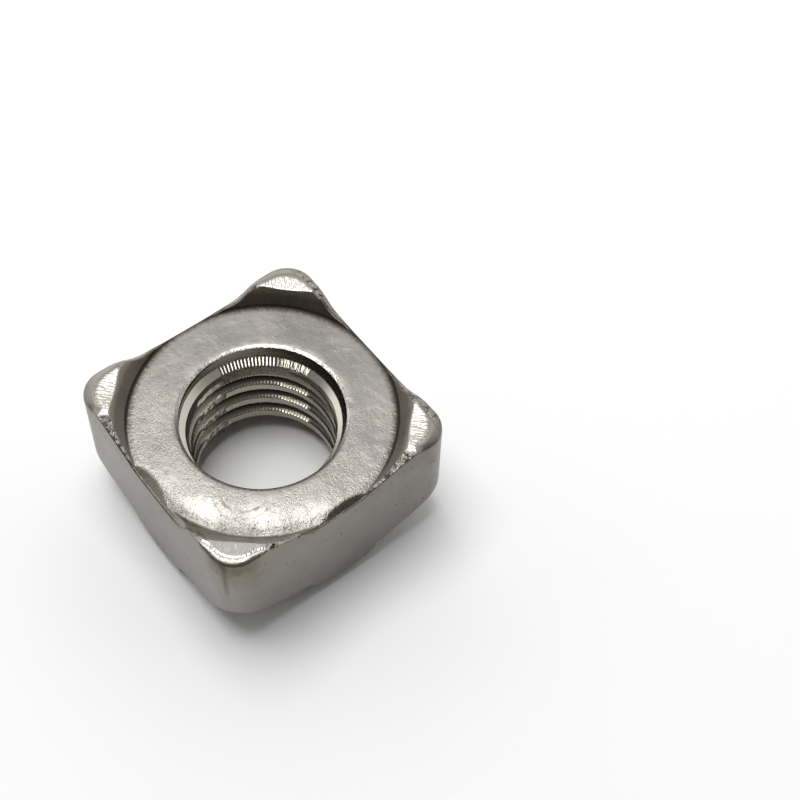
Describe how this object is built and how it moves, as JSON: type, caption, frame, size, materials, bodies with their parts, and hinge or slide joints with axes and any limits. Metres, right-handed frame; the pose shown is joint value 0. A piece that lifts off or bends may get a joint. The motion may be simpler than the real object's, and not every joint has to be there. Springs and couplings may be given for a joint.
{
  "type": "square weld nut",
  "caption": "Square stainless weld nut with a threaded bore, a round collar on one face and a raised weld projection on each corner of the other.",
  "frame": {"origin": "on the bore axis, in the plane of the collar's flat rim, on which the nut lies", "axes": "+Z along the bore axis, from the collar to the weld side; +X and +Y square to the flats"},
  "size_m": [0.019, 0.019, 0.0106],
  "materials": {
    "stainless": "forged and tumbled stainless steel, satin"
  },
  "bodies": {
    "root": {"weld_nut": "stainless"}
  },
  "joints": []
}
